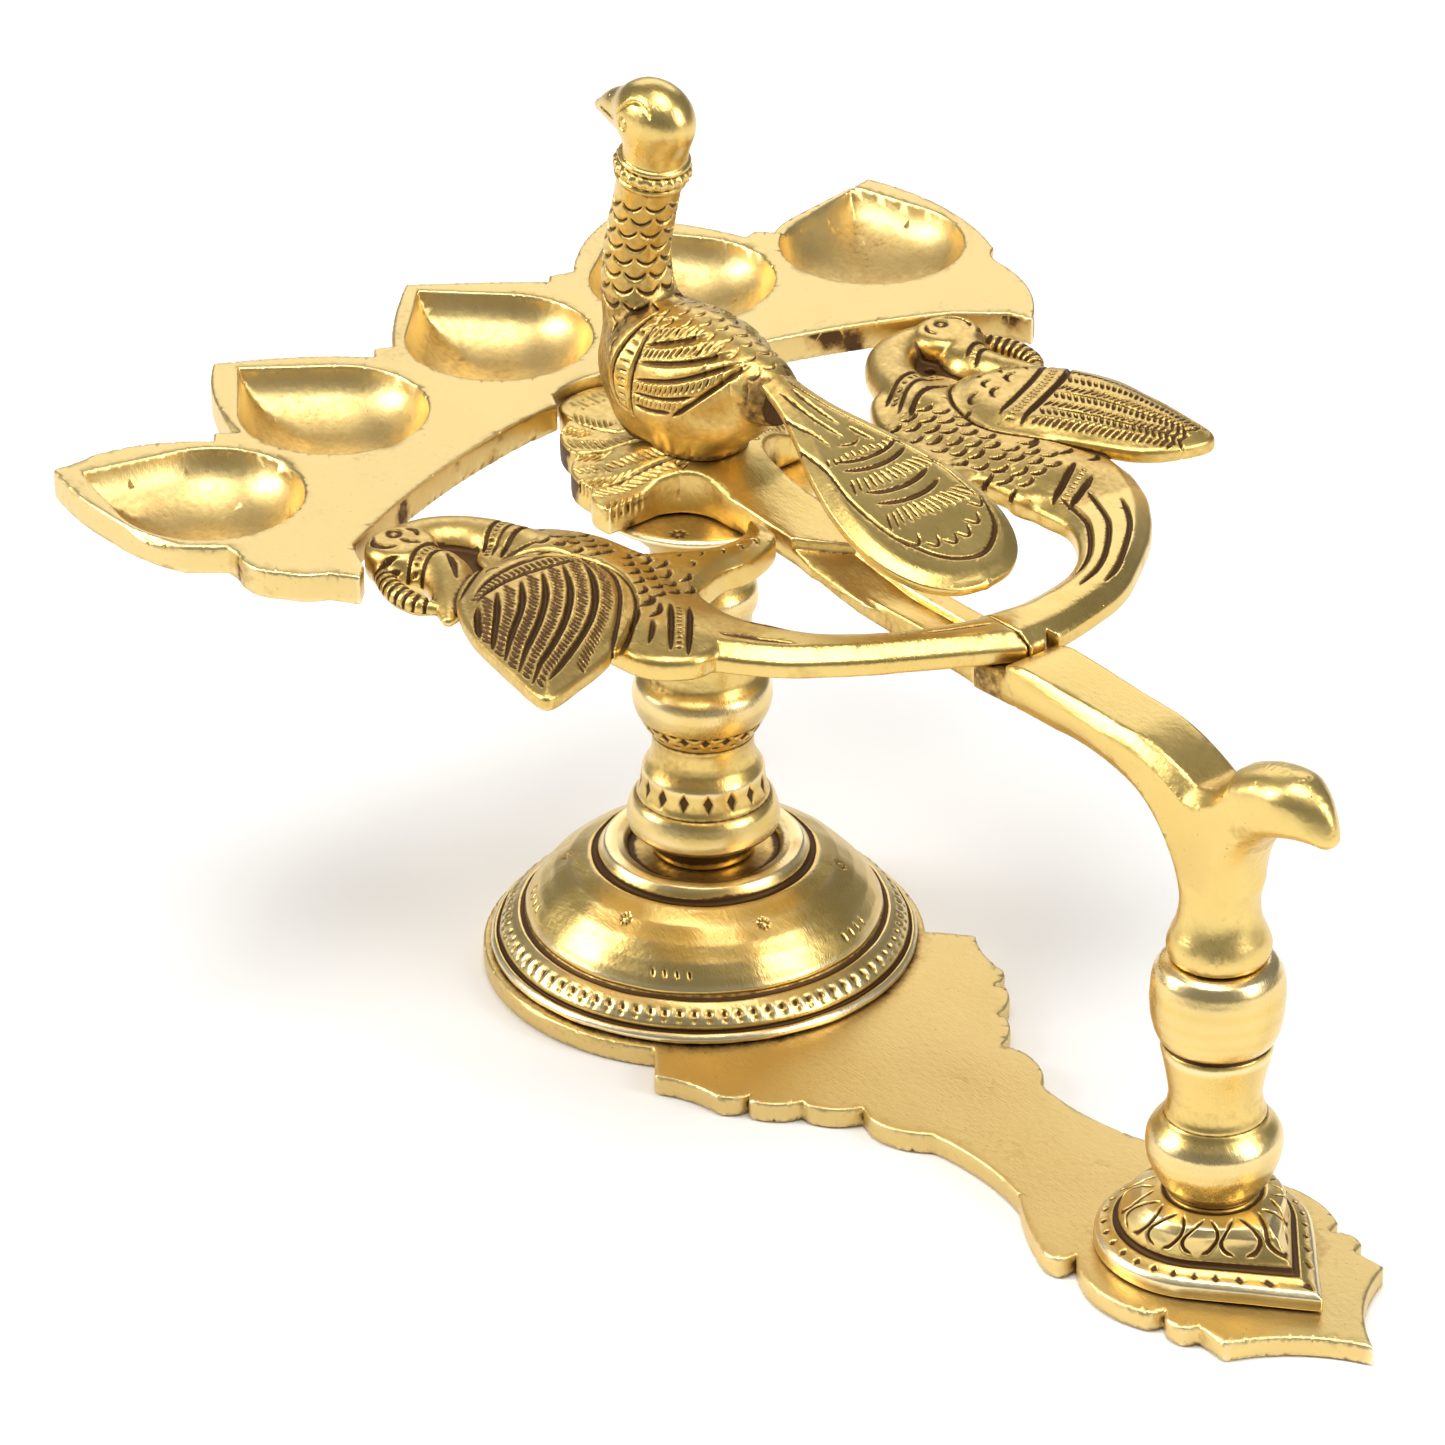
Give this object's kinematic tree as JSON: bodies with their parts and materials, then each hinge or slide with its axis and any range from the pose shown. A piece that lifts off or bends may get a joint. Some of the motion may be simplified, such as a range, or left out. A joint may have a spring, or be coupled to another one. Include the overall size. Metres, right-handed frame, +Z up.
{
  "type": "five-wick oil lamp",
  "caption": "Brass hand-held and standing oil lamp: leaf-shaped wick bowls on a birds' deck, turned pillar, scalloped base, side handle and a turning peacock.",
  "frame": {"origin": "on the ground, under the middle of the whole lamp's length, in the plane through the pillar and the grip column", "axes": "+X from the lamp bowls towards the handle, +Z up, +Y to the right of a person who holds the handle and faces the bowls"},
  "size_m": [0.254, 0.1856, 0.1662],
  "materials": {
    "base_brass": "satin, darkened in the corners",
    "foot_brass": "polished, dark patina in the grooves",
    "boss_brass": "polished, dark patina in the petals",
    "pillar_brass": "polished",
    "seat_brass": "satin",
    "tray_brass": "matte flat top, polished bowls",
    "leaf_brass": "satin, engraved",
    "bird_left_brass": "polished, engraved, dark patina in the cuts",
    "bird_right_brass": "polished, engraved, dark patina in the cuts",
    "handle_brass": "satin, worn by the hand",
    "grip_brass": "polished",
    "peacock_brass": "polished, engraved, dark patina in the cuts",
    "paddle_brass": "polished, engraved",
    "steel": "plain"
  },
  "bodies": {
    "lamp": {"base_plate": "base_brass", "round_foot": "foot_brass", "lotus_boss": "boss_brass", "pillar": "pillar_brass", "seat_flange": "seat_brass", "lamp_tray": "tray_brass", "leaf_spine": "leaf_brass", "side_bird_left": "bird_left_brass", "side_bird_right": "bird_right_brass", "handle_arm": "handle_brass", "grip_column": "grip_brass", "centre_stud": "steel", "centre_nut": "steel", "pillar_screw": "steel", "grip_screw": "steel"},
    "peacock": {"peacock_body": "peacock_brass", "peacock_tail": "paddle_brass"}
  },
  "joints": [
    {"name": "peacock_turn", "type": "hinge", "parent": "lamp", "child": "peacock", "pos_m": [-0.045, 0, 0.1], "axis": [0, 0, 1], "continuous": true}
  ]
}
